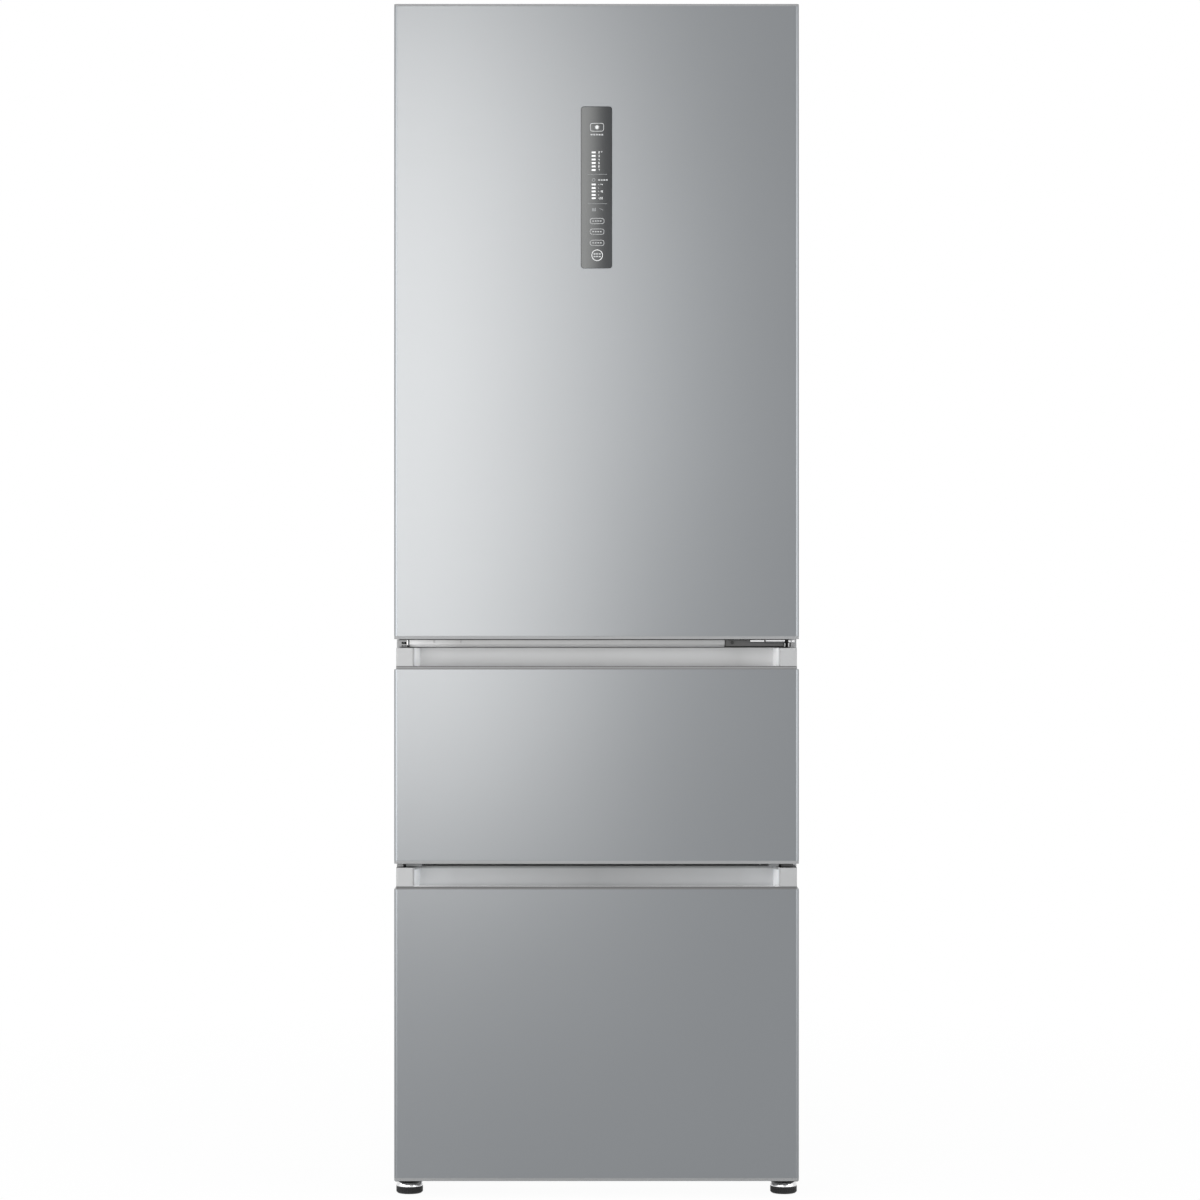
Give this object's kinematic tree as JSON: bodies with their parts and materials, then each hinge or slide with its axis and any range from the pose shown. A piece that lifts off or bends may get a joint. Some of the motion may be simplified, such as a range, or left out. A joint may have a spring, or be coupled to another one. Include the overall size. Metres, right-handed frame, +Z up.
{
  "type": "fridge freezer",
  "caption": "Tall satin steel fridge freezer with a right-hinged fridge door, a narrow upright display and pull-out freezer drawers with scooped finger grips",
  "frame": {"origin": "on the floor under the middle of the appliance", "axes": "X to the right seen from the front, Y from the fronts to the rear wall, Z up"},
  "size_m": [0.595, 0.657, 1.753],
  "materials": {
    "case_paint": "satin",
    "front_steel": "satin",
    "galvanised": "satin",
    "grip_plastic": "satin",
    "liner_white": "gloss",
    "white_plastic": "satin",
    "foam": "matte",
    "seal_rubber": "matte",
    "hinge_black": "satin",
    "grey_plastic": "satin",
    "screw_steel": "polished",
    "shelf_glass": "gloss",
    "clear_plastic": "gloss",
    "lamp_diffuser": "satin",
    "fin_aluminium": "satin",
    "machine_black": "satin",
    "rubber_black": "matte",
    "black_plastic": "satin",
    "window_black": "gloss",
    "slide_steel": "polished"
  },
  "bodies": {
    "cabinet": {"outer_case": "case_paint", "rear_panel": "galvanised", "base_plate": "galvanised", "cabinet_foam": "foam", "fridge_liner": "liner_white", "freezer_liner": "liner_white", "front_rails": "grip_plastic", "top_hinge": "hinge_black", "top_hinge_cover": "grip_plastic", "middle_hinge": "hinge_black", "gap_blocks": "grey_plastic", "screws": "screw_steel", "shelf_glass": "shelf_glass", "shelf_trims": "white_plastic", "fridge_drawers": "clear_plastic", "fridge_air_duct": "white_plastic", "ceiling_lamp": "lamp_diffuser", "freezer_air_duct": "white_plastic", "evaporator": "fin_aluminium", "fan_motors": "black_plastic", "compressor": "machine_black", "compressor_mounts": "rubber_black", "condenser": "machine_black", "machine_cover": "galvanised", "mains_inlet": "black_plastic", "slide_outers": "slide_steel", "support_brackets": "hinge_black"},
    "fridge_door": {"door_skin": "front_steel", "door_top_cap": "grip_plastic", "door_bottom_cap": "grip_plastic", "door_foam": "foam", "door_liner": "liner_white", "door_seal": "seal_rubber", "door_bins": "clear_plastic", "display_window": "window_black", "display_housing": "grey_plastic", "hinge_inserts": "white_plastic"},
    "middle_drawer": {"middle_skin": "front_steel", "middle_grip": "grip_plastic", "middle_inner_panel": "grip_plastic", "middle_foam": "foam", "middle_seal": "seal_rubber", "middle_frame": "slide_steel", "middle_basket": "clear_plastic"},
    "lower_drawer": {"lower_skin": "front_steel", "lower_grip": "grip_plastic", "lower_inner_panel": "grip_plastic", "lower_foam": "foam", "lower_seal": "seal_rubber", "lower_frame": "slide_steel", "lower_basket": "clear_plastic", "lower_tray": "clear_plastic"},
    "middle_runners": {"middle_slides": "slide_steel"},
    "lower_runners": {"lower_slides": "slide_steel"},
    "evaporator_fan_body": {"evaporator_fan": "white_plastic"},
    "condenser_fan_body": {"condenser_fan": "black_plastic"},
    "left_foot_body": {"left_foot": "black_plastic"},
    "right_foot_body": {"right_foot": "black_plastic"},
    "left_roller_body": {"left_roller": "white_plastic"},
    "right_roller_body": {"right_roller": "white_plastic"}
  },
  "joints": [
    {"name": "door_hinge", "type": "hinge", "parent": "cabinet", "child": "fridge_door", "pos_m": [0.2805, -0.2965, 0.82], "axis": [0, 0, 1], "range_deg": [0, 120]},
    {"name": "middle_drawer_slide", "type": "slide", "parent": "cabinet", "child": "middle_drawer", "axis": [0, -1, 0], "range_m": [0, 0.36]},
    {"name": "lower_drawer_slide", "type": "slide", "parent": "cabinet", "child": "lower_drawer", "axis": [0, -1, 0], "range_m": [0, 0.36]},
    {"name": "middle_runner_slide", "type": "slide", "parent": "cabinet", "child": "middle_runners", "axis": [0, -1, 0], "range_m": [0, 0.18]},
    {"name": "lower_runner_slide", "type": "slide", "parent": "cabinet", "child": "lower_runners", "axis": [0, -1, 0], "range_m": [0, 0.18]},
    {"name": "evaporator_fan_spin", "type": "hinge", "parent": "cabinet", "child": "evaporator_fan_body", "pos_m": [0, 0.2165, 0.703], "axis": [0, 1, 0], "continuous": true},
    {"name": "condenser_fan_spin", "type": "hinge", "parent": "cabinet", "child": "condenser_fan_body", "pos_m": [0.13, 0.2045, 0.1325], "axis": [0, 1, 0], "continuous": true},
    {"name": "left_foot_turn", "type": "hinge", "parent": "cabinet", "child": "left_foot_body", "pos_m": [-0.277, -0.2835, 0.005], "axis": [0, 0, 1], "continuous": true},
    {"name": "right_foot_turn", "type": "hinge", "parent": "cabinet", "child": "right_foot_body", "pos_m": [0.277, -0.2835, 0.005], "axis": [0, 0, 1], "continuous": true},
    {"name": "left_roller_spin", "type": "hinge", "parent": "cabinet", "child": "left_roller_body", "pos_m": [-0.255, 0.2715, 0.0105], "axis": [1, 0, 0], "continuous": true},
    {"name": "right_roller_spin", "type": "hinge", "parent": "cabinet", "child": "right_roller_body", "pos_m": [0.255, 0.2715, 0.0105], "axis": [1, 0, 0], "continuous": true}
  ],
  "couplings": [
    {"joint": "middle_runner_slide", "follows": "middle_drawer_slide", "ratio": 0.5},
    {"joint": "lower_runner_slide", "follows": "lower_drawer_slide", "ratio": 0.5}
  ]
}
